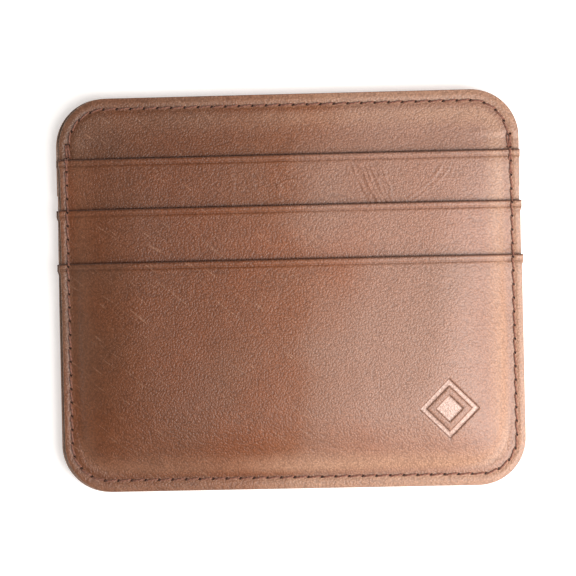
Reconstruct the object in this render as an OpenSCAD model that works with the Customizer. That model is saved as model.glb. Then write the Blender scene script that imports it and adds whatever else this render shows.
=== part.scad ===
// Slim leather card wallet, lying on its back with its front face up.
// Two mirrored halves, each with three stepped card pockets, are sewn together along the sides and the
// bottom. The space between the halves is the cash pocket, and its two free lips open at +Y.
// Millimetres, +Z up, origin under the middle of the wallet at the level that it rests on.

/* [Outline] */
// Width across the sewn sides
wallet_w = 102; // [98:1:110]
// Height from the bottom seam edge to the mouth of the cash pocket
wallet_h = 86.5; // [84:0.5:96]
// Radius of the four corners
corner_r = 10.5; // [8:0.5:14]

/* [Leather and lining] */
// Thickness of the leather of the lips, the bands and the two upper pockets
leather_t = 0.6; // [0.5:0.05:0.8]
// Thickness of the leather of the large lower pocket
panel_t = 0.8; // [0.6:0.05:1.2]
// Thickness of the woven lining
lining_t = 0.1; // [0.08:0.01:0.2]

/* [Pockets] */
// Distance from the top edge down to the mouth of the upper pocket
top_band_h = 13.3; // [12:0.1:16]
// Height that shows of the upper pocket
upper_step = 11.1; // [10:0.1:13]
// Height that shows of the middle pocket
middle_step = 11.8; // [10:0.1:13]
// Clear space in each card slot, for a card 0.76 thick
slot_gap = 0.8; // [0.78:0.01:1]
// Clear space in the cash pocket
cash_gap = 0.5; // [0.3:0.1:1]
// Depth from the mouth of an upper or middle pocket to the seam that the card stands on
slot_depth = 46; // [42:0.5:47]
// Length of each leather strip that is hidden under the next pocket
strip_overlap = 8; // [6:0.5:9]

/* [Seams] */
// Length of one stitch
stitch_pitch = 3.1; // [2.5:0.1:4]
// Diameter of the sewing thread
thread_d = 0.44; // [0.3:0.02:0.6]
// Distance from the edge to the seam that joins the halves
seam_inset = 2.55; // [2:0.05:3.5]
// Distance from the top edge down to the fold line of a lip
lip_h = 9.5; // [8:0.5:11]

/* [Mark] */
// Width of the pressed mark on the front
mark_w = 13; // [8:0.5:16]
// Depth of the pressed mark
mark_depth = 0.25; // [0.1:0.05:0.4]

/* [Hidden] */
$fn = 48;

TAN = "#9C6B50";
LINING_BROWN = "#4A3429";
THREAD_BROWN = "#8C5A45";

half_w = wallet_w / 2;

// Heights above the bottom edge.
fold_y = wallet_h - lip_h;
upper_mouth = wallet_h - top_band_h;
middle_mouth = upper_mouth - upper_step;
lower_mouth = middle_mouth - middle_step;
band_end = upper_mouth - strip_overlap;
upper_end = middle_mouth - strip_overlap;
middle_end = lower_mouth - strip_overlap;
upper_seam_y = upper_mouth - slot_depth;
middle_seam_y = middle_mouth - slot_depth;
lining_hem = 2;
upper_lining_end = upper_seam_y - lining_hem;
middle_lining_end = middle_seam_y - lining_hem;

// Length over which a strip comes down where the strip under it has ended.
settle = 2.4;
// Length over which a pocket's lining comes down to its seam.
lining_drop = 6;
// Width of the flat pressed border, and the rise of the slope inside it for each millimetre inwards.
rim_w = 3.6;
slope = 0.75;
// Anything above every level, for cutting.
high = 12;
// Bare hem round the lining of a lip.
lip_hem = 1.2;
// Gap between two stitches, the depth they are pulled into the leather, and how far they stand out.
stitch_gap = 0.25;
thread_sink = 0.12;
stitch_rise = 0.24;
// How far the thread in a needle hole stands out.
hole_rise = 0.04;
// Width between the two borders that a hidden row leaves free.
slot_row_clear = 6;
// Distance from a row's last hole to the fold line or to a pocket's mouth.
row_clear = 0.4;

// Inner faces of the layers above the middle plane, in the puffed middle of the wallet.
lining_in = cash_gap / 2;
band_in = lining_in + lining_t;
upper_low = band_in + slot_gap;
upper_high = upper_low + leather_t;
middle_low = upper_low + lining_t + slot_gap;
middle_high = upper_low + leather_t + slot_gap;
lower_in = middle_low + leather_t + slot_gap;
half_t = lower_in + panel_t;

// Centre of the pressed mark.
mark_x = half_w - 16.8;
mark_y = 17;

// Level of the upper pocket's inner face where every layer is pressed together.
under_upper = lining_t + leather_t;

// Each level is a table of [height, distance of the inner face from the middle plane].
// First the pressed border, then the puffed middle.
upper_border = [
    [upper_mouth, under_upper], [band_end, under_upper],
    [band_end - settle, lining_t], [upper_end, lining_t]
];
middle_border = [
    [middle_mouth, lining_t + leather_t], [upper_end, lining_t + leather_t],
    [upper_end - settle, 2 * lining_t], [middle_end, 2 * lining_t]
];
lower_border = [
    [lower_mouth, 2 * lining_t + leather_t], [middle_end, 2 * lining_t + leather_t],
    [middle_end - settle, 3 * lining_t], [upper_lining_end, 3 * lining_t],
    [upper_lining_end - 1, 2 * lining_t], [middle_lining_end, 2 * lining_t],
    [middle_lining_end - 1, lining_t], [0, lining_t]
];
upper_lining_border = [[upper_end, lining_t], [upper_lining_end, lining_t]];
middle_lining_border = [
    [middle_end, 2 * lining_t], [upper_lining_end, 2 * lining_t],
    [upper_lining_end - 1, lining_t], [middle_lining_end, lining_t]
];

upper_crown = [
    [upper_mouth, upper_high], [band_end, upper_high],
    [band_end - settle, upper_low], [upper_end, upper_low]
];
middle_crown = [
    [middle_mouth, middle_high], [upper_end, middle_high],
    [upper_end - settle, middle_low], [middle_end, middle_low]
];
upper_lining_crown = [
    [upper_end, upper_low], [upper_seam_y + 1 + lining_drop, upper_low],
    [upper_seam_y + 1, band_in], [upper_lining_end, band_in]
];
middle_lining_crown = [
    [middle_end, middle_low], [middle_seam_y + 1 + lining_drop, middle_low],
    [middle_seam_y + 1, band_in], [middle_lining_end, band_in]
];

function flat_level(top, bottom, z) = [[top, z], [bottom, z]];
function raised(level, t) = [for (p = level) [p[0], p[1] + t]];

// Seam that joins the halves: down the left side, round the bottom and up the right side.
seam_x = half_w - seam_inset;
seam_r = corner_r - seam_inset;
seam_top = fold_y - row_clear;
seam_side = seam_top - corner_r;
seam_arc = PI / 2 * seam_r;
seam_length = 2 * (seam_side + seam_arc + half_w - corner_r);
seam_count = round(seam_length / stitch_pitch);

function seam_half_point(s) =
    s < seam_side ? [-seam_x, seam_top - s]
    : s < seam_side + seam_arc
        ? let (a = 180 + (s - seam_side) / seam_arc * 90)
          [corner_r - half_w + seam_r * cos(a), corner_r + seam_r * sin(a)]
    : [corner_r - half_w + s - seam_side - seam_arc, seam_inset];
function seam_point(s) =
    s <= seam_length / 2 ? seam_half_point(s)
    : let (p = seam_half_point(seam_length - s)) [-p[0], p[1]];

// Row round the top of a lip. It starts just above the fold line, where the corner is already turning.
lip_inset = 3.3;
lip_top_inset = 2.2;
lip_row_r = corner_r - 2.5;
lip_row_x = half_w - lip_inset;
lip_row_y = wallet_h - lip_top_inset;
lip_turn = asin((fold_y + row_clear - lip_row_y + lip_row_r) / lip_row_r);
lip_arc = lip_row_r * (90 - lip_turn) * PI / 180;
lip_length = 2 * (lip_arc + lip_row_x - lip_row_r);
lip_count = round(lip_length / stitch_pitch);

function lip_half_point(s) =
    s < lip_arc
        ? let (a = lip_turn + s / lip_row_r * 180 / PI)
          [lip_row_r - lip_row_x - lip_row_r * cos(a), lip_row_y - lip_row_r + lip_row_r * sin(a)]
    : [lip_row_r - lip_row_x + s - lip_arc, lip_row_y];
function lip_point(s) =
    s <= lip_length / 2 ? lip_half_point(s)
    : let (p = lip_half_point(lip_length - s)) [-p[0], p[1]];

// Outer level of the pressed border at a height, on whichever layer shows there.
function border_top(y) =
    y > upper_mouth ? under_upper
    : y > middle_mouth ? leather_t + lookup(y, upper_border)
    : y > lower_mouth ? leather_t + lookup(y, middle_border)
    : panel_t + lookup(y, lower_border);

// Needle holes of each row, as [x, y, level of the surface].
seam_holes = [
    for (i = [0:seam_count])
        let (p = seam_point(i * seam_length / seam_count))
        [p[0], p[1], border_top(p[1])]
];
lip_holes = [
    for (i = [0:lip_count])
        let (p = lip_point(i * lip_length / lip_count))
        [p[0], p[1], band_in + leather_t]
];

// Rounded outline of the wallet between two heights.
module outline(bottom, top, inset = 0) {
    r = corner_r - inset;
    translate([0, 0, -1])
        linear_extrude(high)
            intersection() {
                union() {
                    for (x = [-1, 1], y = [corner_r, wallet_h - corner_r])
                        translate([x * (half_w - corner_r), y])
                            circle(r);
                    translate([inset - half_w, corner_r])
                        square([wallet_w - 2 * inset, wallet_h - 2 * corner_r]);
                    translate([corner_r - half_w, inset])
                        square([wallet_w - 2 * corner_r, wallet_h - 2 * inset]);
                }
                translate([-half_w, bottom])
                    square([wallet_w, top - bottom]);
            }
}

// Everything under a level table, across the wallet and down to a floor.
module below(level, floor_z = -1) {
    last = len(level) - 1;
    translate([-half_w - 1, 0, 0])
        rotate([90, 0, 90])
            linear_extrude(wallet_w + 2)
                polygon(concat([[level[0][0], floor_z]], level, [[level[last][0], floor_z]]));
}

// A level table that also climbs inwards from the border of the left (-1) or right (1) side.
module climbing(level, side) {
    multmatrix([
        [1, 0, 0, 0],
        [0, 1, 0, 0],
        [-side * slope, 0, 1, slope * (half_w - rim_w)]
    ])
        below(level, -wallet_w);
}

// Everything under a plane that climbs along +Y, starting at the given height.
module climbing_plane(start) {
    run = high / slope;
    reach = 2 * wallet_w;
    translate([-reach / 2, start, 0])
        rotate([90, 0, 90])
            linear_extrude(reach)
                polygon([[0, 0], [run, high], [reach, high], [reach, 0]]);
}

// Slope inside a lower corner, from the border's level at the base.
module corner_slope(side, base) {
    translate([side * (half_w - corner_r), corner_r, 0])
        rotate([0, 0, side * 45])
            climbing_plane(rim_w - corner_r - base / slope);
}

// The slopes inside the bottom border and inside the two lower corners.
module bottom_slopes(base) {
    intersection() {
        climbing_plane(rim_w - base / slope);
        corner_slope(-1, base);
        corner_slope(1, base);
    }
}

// Everything under a surface: the border level, and inside it slopes up to the crown level.
module under_surface(border, crown, closed_bottom) {
    below(border);
    intersection() {
        below(crown);
        climbing(border, -1);
        climbing(border, 1);
        if (closed_bottom) {
            bottom_slopes(lookup(0, border));
        }
    }
}

// A layer of even thickness, lying on its border level and crown level.
module layer(bottom, top, border, crown, t, closed_bottom = false) {
    intersection() {
        outline(bottom, top);
        difference() {
            under_surface(raised(border, t), raised(crown, t), closed_bottom);
            under_surface(border, crown, closed_bottom);
        }
    }
}

// One stitch on the surface, from one needle hole to the next.
module stitch(p, q) {
    run = norm([q[0] - p[0], q[1] - p[1]]);
    length = norm(q - p) - stitch_gap;
    translate(p)
        rotate([0, -atan((q[2] - p[2]) / run), atan2(q[1] - p[1], q[0] - p[0])])
            translate([stitch_gap / 2, 0, -thread_sink])
                linear_extrude(stitch_rise + thread_sink) {
                    translate([thread_d / 2, 0])
                        circle(d = thread_d);
                    translate([length - thread_d / 2, 0])
                        circle(d = thread_d);
                    translate([thread_d / 2, -thread_d / 2])
                        square([length - thread_d, thread_d]);
                }
}

// Thread in its needle holes, from a base level up to just above the surface.
module hole_threads(holes, base) {
    for (p = holes)
        translate([p[0], p[1], base])
            cylinder(d = thread_d, h = p[2] + hole_rise - base);
}

// A whole row: stitches on the surface, joined by the thread in the holes.
module thread_row(holes, base) {
    for (i = [1:len(holes) - 1])
        stitch(holes[i - 1], holes[i]);
    hole_threads(holes, base);
}

// Hidden row that closes the bottom of a card slot.
module slot_row(y) {
    span = 2 * (half_w - rim_w) - slot_row_clear;
    count = round(span / stitch_pitch);
    thread_row(
        [for (i = [0:count]) [-span / 2 + i * span / count, y, band_in + lining_t]],
        lining_in
    );
}

// Pressed mark: two nested diamonds.
module mark_shape() {
    side = mark_w * sqrt(0.5);
    rotate(45) {
        difference() {
            square(side, center = true);
            square(side * 0.76, center = true);
        }
        square(side * 0.46, center = true);
    }
}

module half_lining() {
    layer(
        0, fold_y,
        [[fold_y, lining_in], [fold_y - 1, 0], [0, 0]],
        flat_level(fold_y, 0, lining_in),
        lining_t, true
    );
}

module half_lip_lining() {
    translate([0, 0, lining_in])
        intersection() {
            outline(fold_y, wallet_h - lip_hem, lip_hem);
            linear_extrude(lining_t)
                translate([-half_w, 0])
                    square([wallet_w, wallet_h]);
        }
}

module half_band() {
    layer(
        band_end, fold_y,
        [[fold_y, band_in], [fold_y - 1, lining_t], [band_end, lining_t]],
        flat_level(fold_y, band_end, band_in),
        leather_t
    );
}

module half_lip() {
    translate([0, 0, band_in])
        intersection() {
            outline(fold_y, wallet_h);
            linear_extrude(leather_t)
                translate([-half_w, 0])
                    square([wallet_w, wallet_h]);
        }
}

module half_upper_pocket() {
    layer(upper_end, upper_mouth, upper_border, upper_crown, leather_t);
}

module half_upper_pocket_lining() {
    layer(upper_lining_end, upper_end, upper_lining_border, upper_lining_crown, lining_t);
}

module half_middle_pocket() {
    layer(middle_end, middle_mouth, middle_border, middle_crown, leather_t);
}

module half_middle_pocket_lining() {
    layer(middle_lining_end, middle_end, middle_lining_border, middle_lining_crown, lining_t);
}

module half_lower_pocket() {
    layer(0, lower_mouth, lower_border, flat_level(lower_mouth, 0, lower_in), panel_t, true);
}

module half_lip_stitches() {
    thread_row(lip_holes, lining_in);
}

// The ends of the lip's row, below the fold line.
module half_band_stitches() {
    for (side = [-1, 1])
        thread_row(
            [for (y = [fold_y - 1, upper_mouth + row_clear]) [side * lip_row_x, y, under_upper]],
            0
        );
}

module half_upper_slot_seam() {
    slot_row(upper_seam_y);
}

module half_middle_slot_seam() {
    slot_row(middle_seam_y);
}

module half_side_seam() {
    thread_row(seam_holes, 0);
}

// The front half lies above the middle plane. The back half is the same half turned over.
module on_front() {
    translate([0, -wallet_h / 2, half_t])
        children();
}

module on_back() {
    translate([0, -wallet_h / 2, half_t])
        mirror([0, 0, 1])
            children();
}

module front_lining() {
    color(LINING_BROWN)
        on_front()
            half_lining();
}

module front_lip_lining() {
    color(LINING_BROWN)
        on_front()
            half_lip_lining();
}

module front_band() {
    color(TAN)
        on_front()
            half_band();
}

module front_lip() {
    color(TAN)
        on_front()
            half_lip();
}

module front_upper_pocket() {
    color(TAN)
        on_front()
            half_upper_pocket();
}

module front_upper_pocket_lining() {
    color(LINING_BROWN)
        on_front()
            half_upper_pocket_lining();
}

module front_middle_pocket() {
    color(TAN)
        on_front()
            half_middle_pocket();
}

module front_middle_pocket_lining() {
    color(LINING_BROWN)
        on_front()
            half_middle_pocket_lining();
}

module front_lower_pocket() {
    color(TAN)
        on_front()
            difference() {
                half_lower_pocket();
                translate([mark_x, mark_y, half_t - mark_depth])
                    linear_extrude(1)
                        mark_shape();
            }
}

module front_lip_stitches() {
    color(THREAD_BROWN)
        on_front()
            half_lip_stitches();
}

module front_band_stitches() {
    color(THREAD_BROWN)
        on_front()
            half_band_stitches();
}

module front_upper_slot_seam() {
    color(THREAD_BROWN)
        on_front()
            half_upper_slot_seam();
}

module front_middle_slot_seam() {
    color(THREAD_BROWN)
        on_front()
            half_middle_slot_seam();
}

module front_side_seam() {
    color(THREAD_BROWN)
        on_front()
            half_side_seam();
}

module back_lining() {
    color(LINING_BROWN)
        on_back()
            half_lining();
}

module back_lip_lining() {
    color(LINING_BROWN)
        on_back()
            half_lip_lining();
}

module back_band() {
    color(TAN)
        on_back()
            half_band();
}

module back_lip() {
    color(TAN)
        on_back()
            half_lip();
}

module back_upper_pocket() {
    color(TAN)
        on_back()
            half_upper_pocket();
}

module back_upper_pocket_lining() {
    color(LINING_BROWN)
        on_back()
            half_upper_pocket_lining();
}

module back_middle_pocket() {
    color(TAN)
        on_back()
            half_middle_pocket();
}

module back_middle_pocket_lining() {
    color(LINING_BROWN)
        on_back()
            half_middle_pocket_lining();
}

module back_lower_pocket() {
    color(TAN)
        on_back()
            half_lower_pocket();
}

module back_lip_stitches() {
    color(THREAD_BROWN)
        on_back()
            half_lip_stitches();
}

module back_band_stitches() {
    color(THREAD_BROWN)
        on_back()
            half_band_stitches();
}

module back_upper_slot_seam() {
    color(THREAD_BROWN)
        on_back()
            half_upper_slot_seam();
}

module back_middle_slot_seam() {
    color(THREAD_BROWN)
        on_back()
            half_middle_slot_seam();
}

module back_side_seam() {
    color(THREAD_BROWN)
        on_back()
            half_side_seam();
}

front_lining();
front_lip_lining();
front_band();
front_lip();
front_upper_pocket();
front_upper_pocket_lining();
front_middle_pocket();
front_middle_pocket_lining();
front_lower_pocket();
front_lip_stitches();
front_band_stitches();
front_upper_slot_seam();
front_middle_slot_seam();
front_side_seam();
back_lining();
back_lip_lining();
back_band();
back_lip();
back_upper_pocket();
back_upper_pocket_lining();
back_middle_pocket();
back_middle_pocket_lining();
back_lower_pocket();
back_lip_stitches();
back_band_stitches();
back_upper_slot_seam();
back_middle_slot_seam();
back_side_seam();
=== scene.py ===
"""Slim leather card wallet: leather, linings, seams and the table it lies on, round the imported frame."""

import math

import bmesh
import bpy
import numpy as np
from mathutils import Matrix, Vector, noise


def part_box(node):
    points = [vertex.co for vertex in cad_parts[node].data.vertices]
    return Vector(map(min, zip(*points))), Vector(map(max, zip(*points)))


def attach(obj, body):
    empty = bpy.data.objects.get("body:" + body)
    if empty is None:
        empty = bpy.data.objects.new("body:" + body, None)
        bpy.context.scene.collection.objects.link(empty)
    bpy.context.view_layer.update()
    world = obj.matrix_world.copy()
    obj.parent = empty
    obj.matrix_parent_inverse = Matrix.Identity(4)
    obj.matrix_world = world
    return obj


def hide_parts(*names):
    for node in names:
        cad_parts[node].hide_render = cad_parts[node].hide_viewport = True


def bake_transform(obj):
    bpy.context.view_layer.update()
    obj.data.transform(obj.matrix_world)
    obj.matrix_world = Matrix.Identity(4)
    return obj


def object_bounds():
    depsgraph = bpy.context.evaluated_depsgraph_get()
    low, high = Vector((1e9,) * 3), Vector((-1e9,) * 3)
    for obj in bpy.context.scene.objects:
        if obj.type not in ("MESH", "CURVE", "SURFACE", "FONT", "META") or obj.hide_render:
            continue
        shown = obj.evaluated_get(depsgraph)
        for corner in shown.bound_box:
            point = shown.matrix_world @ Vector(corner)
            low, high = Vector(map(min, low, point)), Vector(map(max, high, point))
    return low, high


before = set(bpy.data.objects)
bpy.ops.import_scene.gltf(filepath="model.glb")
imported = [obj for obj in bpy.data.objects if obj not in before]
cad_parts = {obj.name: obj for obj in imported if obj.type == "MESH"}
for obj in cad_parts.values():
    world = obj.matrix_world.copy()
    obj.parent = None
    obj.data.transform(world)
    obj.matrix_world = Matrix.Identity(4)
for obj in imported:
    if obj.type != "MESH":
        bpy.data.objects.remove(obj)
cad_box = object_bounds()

bl_info = {
    "name": "Slim card wallet",
    "version": (1, 0, 0),
    "blender": (4, 5, 0),
    "location": "3D View > Sidebar > Wallet",
    "description": "Builds the leather, linings, seams and stage of a slim card wallet",
    "category": "Object",
}

MM = 0.001
HALVES = {"front": 1, "back": -1}
BODY = "wallet_body"

# The frame's own places. Heights run along Y, and levels are measured from the middle plane.
HALF_W = cad_box[1][0]
TOP = cad_box[1][1]
BOTTOM = cad_box[0][1]
MIDDLE = (cad_box[0][2] + cad_box[1][2]) / 2
HALF_T = cad_box[1][2] - MIDDLE
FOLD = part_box("front_lip")[0].y
UPPER_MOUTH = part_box("front_upper_pocket")[1].y
MIDDLE_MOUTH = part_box("front_middle_pocket")[1].y
LOWER_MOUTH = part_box("front_lower_pocket")[1].y
BAND_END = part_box("front_band")[0].y
UPPER_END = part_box("front_upper_pocket")[0].y
MIDDLE_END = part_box("front_middle_pocket")[0].y
UPPER_LINING_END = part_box("front_upper_pocket_lining")[0].y
MIDDLE_LINING_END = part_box("front_middle_pocket_lining")[0].y
UPPER_SEAM = sum(corner.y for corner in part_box("front_upper_slot_seam")) / 2
MIDDLE_SEAM = sum(corner.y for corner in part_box("front_middle_slot_seam")) / 2
LIP_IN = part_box("front_lip")[0].z - MIDDLE
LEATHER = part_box("front_lip")[1].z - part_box("front_lip")[0].z
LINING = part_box("front_lip_lining")[1].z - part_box("front_lip_lining")[0].z
LIP_OUT = LIP_IN + LEATHER


def srgb(code):
    """Linear colour of an sRGB hex value."""
    values = [int(code[i:i + 2], 16) / 255 for i in (1, 3, 5)]
    return tuple(v / 12.92 if v <= 0.04045 else ((v + 0.055) / 1.055) ** 2.4 for v in values)


def length(name, description, default_mm):
    """A size in the panel."""
    return bpy.props.FloatProperty(
        name=name, description=description, default=default_mm * MM, unit="LENGTH", precision=5
    )


def colour(name, description, code):
    """A colour in the panel."""
    return bpy.props.FloatVectorProperty(
        name=name, description=description, default=srgb(code), subtype="COLOR", min=0, max=1
    )


class WalletSizes(bpy.types.PropertyGroup):
    """Sizes of the sewn leather."""

    corner: length("Corner radius", "Radius of the wallet's four corners", 10.5)
    panel: length("Panel leather", "Thickness of the large lower pocket", 0.8)
    rim: length("Pressed border", "Width of the flat border that the seam runs in", 3.3)
    roll: length("Roll", "Width over which the leather rises inside the border", 17.0)
    bead: length("Turned edge", "Width of the bead at a pocket's mouth", 1.35)
    crease: length("Crease depth", "Depth of the creased line under a mouth's bead", 0.15)
    furrow: length("Furrow depth", "Depth to which a seam pulls the leather down", 0.14)
    pitch: length("Stitch length", "Distance between two needle holes", 3.0)
    thread: length("Thread", "Diameter of the sewing thread", 0.42)
    seam: length("Seam inset", "Distance from the edge to the seam of the halves", 2.55)
    grain: length("Grain", "Width of one cell of the leather's grain", 0.38)
    mark: length("Mark", "Width of the pressed mark", 13.0)
    mark_depth: length("Mark depth", "Depth of the pressed mark", 0.3)


class WalletColours(bpy.types.PropertyGroup):
    """Colours of the leather, cloth and thread."""

    warm: colour("Warm leather", "Red brown of the leather", "#8C4F2D")
    cool: colour("Cool leather", "Grey brown of the leather", "#805137")
    # Also painted light: this paler tan is laid stronger on the bottom and the right, where the light falls.
    pulled: colour("Pulled leather", "Lighter tan where the waxed leather is stretched", "#BA8D72")
    # Also a painted sheen: this pale pink on the right stands for the light's reflection there.
    bloom_and_sheen: colour("Wax bloom", "Pale greyish pink of the dry wax on the right", "#A8806E")
    raw: colour("Cut edge", "Paler raw brown of the cut edges", "#A58470")
    # Painted shade: this dark brown is laid above and on the mouths and in the walls of the pressed mark.
    shade_brown: colour("Burnished rim", "Dark brown of the rubbed rims and pressed lines", "#4F2917")
    # Partly a painted sheen: the mark is painted paler for the gloss of its pressed surface.
    ironed_and_sheen: colour("Ironed mark", "Pale polished brown of the pressed mark", "#D8B4A4")
    lining: colour("Lining", "Dark brown of the woven lining", "#3E2C22")
    thread: colour("Thread", "Red brown of the sewing thread", "#8A5744")
    floor: colour("Floor", "Near white of the table", "#F4F2F0")


# ---------------------------------------------------------------- surfaces


def smooth(edge0, edge1, value):
    """Smooth step from 0 at edge0 to 1 at edge1."""
    t = np.clip((value - edge0) / (edge1 - edge0), 0, 1)
    return t * t * (3 - 2 * t)


def inside(x, y, corner, half_w=HALF_W):
    """Distance inwards from the rounded outline of the wallet."""
    across = np.abs(x) - (half_w - corner)
    along = np.abs(y) - (TOP - corner)
    out = np.hypot(np.maximum(across, 0), np.maximum(along, 0)) + np.minimum(np.maximum(across, along), 0)
    return corner - out


def level(table, y):
    """Level at a height, from a short table of (height, level) that starts at the top."""
    heights = [row[0] for row in table][::-1]
    levels = [row[1] for row in table][::-1]
    return np.interp(y, heights, levels)


def cloudy(x, y, size, seed):
    """Soft noise from -1 to 1, with features of the given size."""
    flat = np.stack([np.ravel(x), np.ravel(y)], axis=1) / size
    values = [noise.noise((a, b, seed)) for a, b in flat]
    return np.array(values).reshape(np.shape(x))


class SeamPath:
    """A row of stitches down one side, round an end of the wallet and up the other side."""

    def __init__(self, side_inset, end_inset, radius, start, end_sign):
        self.side_x = HALF_W - side_inset
        self.end_y = TOP - end_inset
        self.radius = radius
        self.end_sign = end_sign
        self.centre_x = self.side_x - radius
        self.centre_y = self.end_y - radius
        self.straight = self.centre_y - start
        self.arc = math.pi / 2 * radius
        self.total = 2 * (self.straight + self.arc + self.centre_x)

    def point(self, s):
        """Place at a distance along the row, from its start on the left."""
        left = s <= self.total / 2
        s = s if left else self.total - s
        if s < self.straight:
            x, y = self.side_x, self.centre_y - self.straight + s
        elif s < self.straight + self.arc:
            turn = (s - self.straight) / self.radius
            x = self.centre_x + self.radius * math.cos(turn)
            y = self.centre_y + self.radius * math.sin(turn)
        else:
            x, y = self.centre_x - (s - self.straight - self.arc), self.end_y
        return (-x if left else x), y * self.end_sign

    def along(self, x, y):
        """Distance along the row, and distance inwards from it, of points in the plane."""
        ax, ay = np.abs(x), y * self.end_sign
        out_x, out_y = ax - self.centre_x, ay - self.centre_y
        on_side = out_y <= 0
        on_end = (~on_side) & (out_x <= 0)
        turn = np.arctan2(np.maximum(out_y, 0), np.maximum(out_x, 1e-9))
        s = self.straight + self.radius * turn
        s = np.where(on_side, self.straight + out_y, s)
        s = np.where(on_end, self.straight + self.arc - out_x, s)
        inward = self.radius - np.hypot(out_x, out_y)
        inward = np.where(on_side, self.side_x - ax, inward)
        inward = np.where(on_end, self.end_y - ay, inward)
        inward = np.where(s < -0.3 * MM, 1.0, inward)
        return np.where(x > 0, self.total - s, s), inward


def side_seam(sizes):
    """The seam of the halves: down the left side, round the bottom and up the right side."""
    return SeamPath(sizes.seam - 0.25 * MM, sizes.seam, sizes.corner - sizes.seam, -(FOLD - 0.4 * MM), -1)


def lip_row(sizes):
    """The row round the top of a lip. Its ends run down beside the seam of the halves."""
    return SeamPath(2.9 * MM, 2.4 * MM, 8 * MM, UPPER_MOUTH + 0.4 * MM, 1)


# Softness of the bulge's corners, as a share of the corner radius. At this share they follow the outline.
CORNER_SOFTNESS = 0.42
# A leather end that lies under the next pocket is thinned over this length, down to this share.
SKIVE = 5 * MM
SKIVED = 0.35


class Layer:
    """One sheet of a half: its heights, levels and details, measured outwards from the middle plane."""

    def __init__(self, low, high, border, crown, thick, **details):
        self.low, self.high = low, high
        self.border, self.crown = border, crown
        self.thick = thick
        self.narrow = details.get("narrow", 0)
        self.shift = details.get("shift", 0)
        self.skived = details.get("skived", False)
        self.covered = details.get("covered")
        self.bead = details.get("bead", False)
        self.turned = details.get("turned", thick)
        self.mark = details.get("mark", False)
        self.wrinkles = details.get("wrinkles", ())
        self.seed = details.get("seed", 0)
        self.flat = details.get("flat", False)
        self.rows = details.get("rows", ())

    def puff(self, x, y, sizes):
        """How far the sheet has risen from its border, from 0 to 1."""
        side, end = HALF_W - np.abs(x), y - BOTTOM
        soft = sizes.corner * CORNER_SOFTNESS
        distance = -soft * np.log(np.exp(-side / soft) + np.exp(-end / soft))
        t = np.clip((distance - sizes.rim) / sizes.roll, 0, 1)
        rise = 1 - (1 - t) ** 2.2
        return rise * smooth(0, 0.12, t) + t * (1 - smooth(0, 0.12, t))

    def outer(self, x, y, sizes):
        """Level of the outer face."""
        border, crown = level(self.border, y), level(self.crown, y)
        z = border + (crown - border) * self.puff(x, y, sizes)
        if self.flat:
            return z
        z = z + 0.05 * MM * cloudy(x, y, 14 * MM, self.seed) * self.puff(x, y, sizes)
        z = z + 0.02 * MM * cloudy(x, y, 4 * MM, self.seed + 7)
        if self.bead:
            down = self.high - y
            crease = np.exp(-(((down - sizes.bead) / (0.28 * MM)) ** 2))
            wide = 1 + 0.25 * cloudy(x, y * 0, 22 * MM, self.seed + 3)
            z = z - sizes.crease * crease * wide
            z = z + 0.05 * MM * smooth(sizes.bead * 1.3, sizes.bead * 0.6, down)
        z = z - 0.14 * MM * (1 - smooth(0, 1.3 * MM, inside(x, y, sizes.corner, HALF_W - self.narrow)))
        for path in self.rows:
            _, across = path(sizes).along(x, y)
            z = z - sizes.furrow * np.exp(-((across / (0.65 * MM)) ** 2))
        for x_top, x_low, bow, height, width in self.wrinkles:
            t = (self.high - y) / (self.high - MIDDLE_MOUTH)
            line = (x_top + (x_low - x_top) * t + bow * np.sin(math.pi * np.clip(t, 0, 1))) * MM
            line = line + 0.5 * MM * cloudy(x * 0 + x_top * MM, y, 2.5 * MM, self.seed)
            fade = smooth(0.12, 0.4, t) * (1 - smooth(1.05, 1.3, t))
            fade = fade * (0.7 + 0.6 * cloudy(x * 0, y, 2 * MM, x_top))
            ridge = np.exp(-(((x - line) / (width * MM)) ** 2))
            beside = np.exp(-(((x - line - 1.8 * width * MM) / (width * MM)) ** 2))
            z = z + height * MM * fade * (ridge - 0.5 * beside)
        if self.mark:
            z = z - sizes.mark_depth * pressed_mark(x, y, sizes)
        return z

    def shaded(self, y, sizes):
        """How much painted shade a height takes: a dark line just above the next mouth, where that mouth
        shades it, and in the crease under the bead.
        """
        dark = y * 0
        if self.covered is not None:
            above = y - self.covered
            dark = 0.4 * smooth(0.5 * MM, 0.15 * MM, above) * (above > 0)
        if self.bead:
            dark = dark + 0.2 * np.exp(-(((self.high - y - sizes.bead) / (0.25 * MM)) ** 2))
        return dark

    def depth(self, x, y, sizes):
        """Thickness: doubled where a mouth is turned in, pressed thin in the border and skived at the end."""
        doubled = smooth(self.high - 9 * MM, self.high - 7 * MM, y) * smooth(0, 0.25, self.puff(x, y, sizes))
        thick = self.thick + (self.turned - self.thick) * doubled
        if self.skived:
            thick = thick * (SKIVED + (1 - SKIVED) * smooth(self.low, self.low + SKIVE, y))
        return thick


def pressed_mark(x, y, sizes):
    """1 where the mark of two nested diamonds is pressed in, 0 outside it."""
    centre_x, centre_y = HALF_W - 16.8 * MM, BOTTOM + 17 * MM
    reach = np.abs(x - centre_x) + np.abs(y - centre_y)
    half = sizes.mark / 2
    soft = 0.22 * MM
    ring = smooth(half + soft, half - soft, reach) * smooth(0.76 * half - soft, 0.76 * half + soft, reach)
    heart = smooth(0.46 * half + soft, 0.46 * half - soft, reach)
    return np.maximum(ring, heart)


def steps(*stretches):
    """Places along a line: (start, end, step) for each stretch, without repeats."""
    places = []
    for start, end, step in stretches:
        count = max(1, round((end - start) / step))
        places += [start + (end - start) * i / count for i in range(count)]
    places.append(stretches[-1][1])
    return np.array(places)


def corner_rows(corner, edge):
    """Heights above an end's edge that give evenly spaced points round the corner's arc."""
    turns = np.radians(np.arange(0, 90, 2.25))
    return corner - (corner - edge) * np.cos(turns)


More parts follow.
